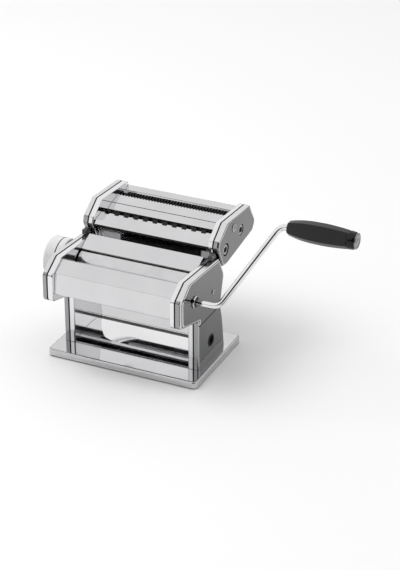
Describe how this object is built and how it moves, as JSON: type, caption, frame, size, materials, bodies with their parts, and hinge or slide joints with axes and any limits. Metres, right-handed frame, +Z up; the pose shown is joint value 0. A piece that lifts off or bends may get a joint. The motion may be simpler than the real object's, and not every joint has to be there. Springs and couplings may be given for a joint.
{
  "type": "pasta roller machine",
  "caption": "Hand-cranked pasta roller on a flat base: two smooth rollers between side frames, a thickness knob, a removable crank and a hang-on noodle cutter.",
  "frame": {"origin": "centre of the bottom of the machine's box as it stands with the crank in the rollers, on the table", "axes": "+X along the rollers towards the crank, +Y towards the back, where the cutter hangs, +Z up"},
  "size_m": [0.3884, 0.2142, 0.2155],
  "materials": {
    "polished_chrome": "mirror-polished chrome plate",
    "cover_chrome": "polished chrome plate, reflecting grey",
    "bright_sheet": "polished folded sheet",
    "roller_metal": "smooth satin roller",
    "cutter_steel": "ground steel cutting discs",
    "plain_steel": "plain steel",
    "black_plastic": "black moulded plastic, fine grain",
    "knob_plastic": "light grey moulded plastic",
    "dark_nylon": "dark nylon",
    "foot_rubber": "black rubber"
  },
  "bodies": {
    "root": {"base_plate": "polished_chrome", "foot_front_left": "foot_rubber", "foot_front_right": "foot_rubber", "foot_rear_left": "foot_rubber", "foot_rear_right": "foot_rubber", "floor_sheet": "polished_chrome", "left_frame": "polished_chrome", "right_frame": "polished_chrome", "left_cover": "cover_chrome", "right_cover": "cover_chrome", "front_cover": "bright_sheet", "hopper_sheet": "bright_sheet", "rear_cover": "bright_sheet", "rear_tie_rod": "plain_steel", "left_bush": "dark_nylon", "right_bush": "dark_nylon", "front_scraper": "plain_steel", "right_cover_screw": "plain_steel", "clamp_socket": "dark_nylon", "cutter_rail": "plain_steel"},
    "front_shaft": {"front_roller": "roller_metal", "drive_gear": "plain_steel", "drive_socket": "plain_steel"},
    "crank": {"crank_rod": "polished_chrome"},
    "handle_body": {"handle": "black_plastic", "handle_cap": "plain_steel"},
    "gap_carriage": {"left_bearing_block": "dark_nylon", "right_bearing_block": "dark_nylon", "yoke_bar": "plain_steel", "rear_scraper": "plain_steel"},
    "rear_shaft": {"rear_roller": "roller_metal", "driven_gear": "plain_steel"},
    "regulator": {"knob_shaft": "plain_steel", "gap_cam": "plain_steel", "knob_spring": "plain_steel"},
    "thickness_knob": {"knob": "knob_plastic", "index_pin": "plain_steel"},
    "cutter": {"left_cutter_frame": "polished_chrome", "right_cutter_frame": "polished_chrome", "left_cutter_cover": "cover_chrome", "right_cutter_cover": "cover_chrome", "front_cutter_sheet": "bright_sheet", "middle_cutter_sheet": "bright_sheet", "rear_cutter_sheet": "bright_sheet", "left_hook": "dark_nylon", "right_hook": "dark_nylon", "cutter_hanger": "plain_steel", "cutter_tie_rod": "plain_steel", "fine_comb": "cutter_steel", "wide_comb": "cutter_steel", "cutter_cover_screw": "plain_steel"},
    "fine_front_shaft": {"fine_front_cutter": "cutter_steel", "fine_drive_gear": "plain_steel"},
    "fine_rear_shaft": {"fine_rear_cutter": "cutter_steel", "fine_driven_gear": "plain_steel"},
    "wide_front_shaft": {"wide_front_cutter": "cutter_steel", "wide_drive_gear": "plain_steel"},
    "wide_rear_shaft": {"wide_rear_cutter": "cutter_steel", "wide_driven_gear": "plain_steel"}
  },
  "joints": [
    {"name": "crank_turn", "type": "hinge", "parent": "root", "child": "front_shaft", "pos_m": [-0.0771, -0.06978, 0.11], "axis": [1, 0, 0], "continuous": true},
    {"name": "crank_pull", "type": "slide", "parent": "front_shaft", "child": "crank", "axis": [1, 0, 0], "range_m": [0, 0.04]},
    {"name": "handle_spin", "type": "hinge", "parent": "crank", "child": "handle_body", "pos_m": [0.1504, -0.01828, 0.2025], "axis": [1, 0, 0], "continuous": true},
    {"name": "knob_turn", "type": "hinge", "parent": "root", "child": "regulator", "pos_m": [-0.1821, -0.03378, 0.11], "axis": [-1, 0, 0], "range_deg": [0, 280]},
    {"name": "knob_pull", "type": "slide", "parent": "regulator", "child": "thickness_knob", "axis": [-1, 0, 0], "range_m": [0, 0.004], "stiffness_N_per_m": 900},
    {"name": "gap_slide", "type": "slide", "parent": "root", "child": "gap_carriage", "axis": [0, -1, 0], "range_m": [0, 0.0022]},
    {"name": "rear_roller_turn", "type": "hinge", "parent": "gap_carriage", "child": "rear_shaft", "pos_m": [-0.0771, -0.03378, 0.11], "axis": [1, 0, 0], "continuous": true},
    {"name": "cutter_lift", "type": "slide", "parent": "root", "child": "cutter", "axis": [0, 0, 1], "range_m": [0, 0.06]},
    {"name": "fine_turn", "type": "hinge", "parent": "cutter", "child": "fine_front_shaft", "pos_m": [-0.0771, 0.06422, 0.144], "axis": [1, 0, 0], "continuous": true},
    {"name": "fine_rear_turn", "type": "hinge", "parent": "cutter", "child": "fine_rear_shaft", "pos_m": [-0.0771, 0.08262, 0.14448], "axis": [1, 0, 0], "continuous": true},
    {"name": "wide_turn", "type": "hinge", "parent": "cutter", "child": "wide_front_shaft", "pos_m": [-0.0771, 0.01972, 0.1372], "axis": [1, 0, 0], "continuous": true},
    {"name": "wide_rear_turn", "type": "hinge", "parent": "cutter", "child": "wide_rear_shaft", "pos_m": [-0.0771, 0.03803, 0.139], "axis": [1, 0, 0], "continuous": true}
  ],
  "couplings": [
    {"joint": "knob_turn", "follows": "gap_slide", "rad_per_m": 2221.3},
    {"joint": "rear_roller_turn", "follows": "crank_turn", "ratio": -1},
    {"joint": "fine_rear_turn", "follows": "fine_turn", "ratio": -1},
    {"joint": "wide_rear_turn", "follows": "wide_turn", "ratio": -1}
  ]
}
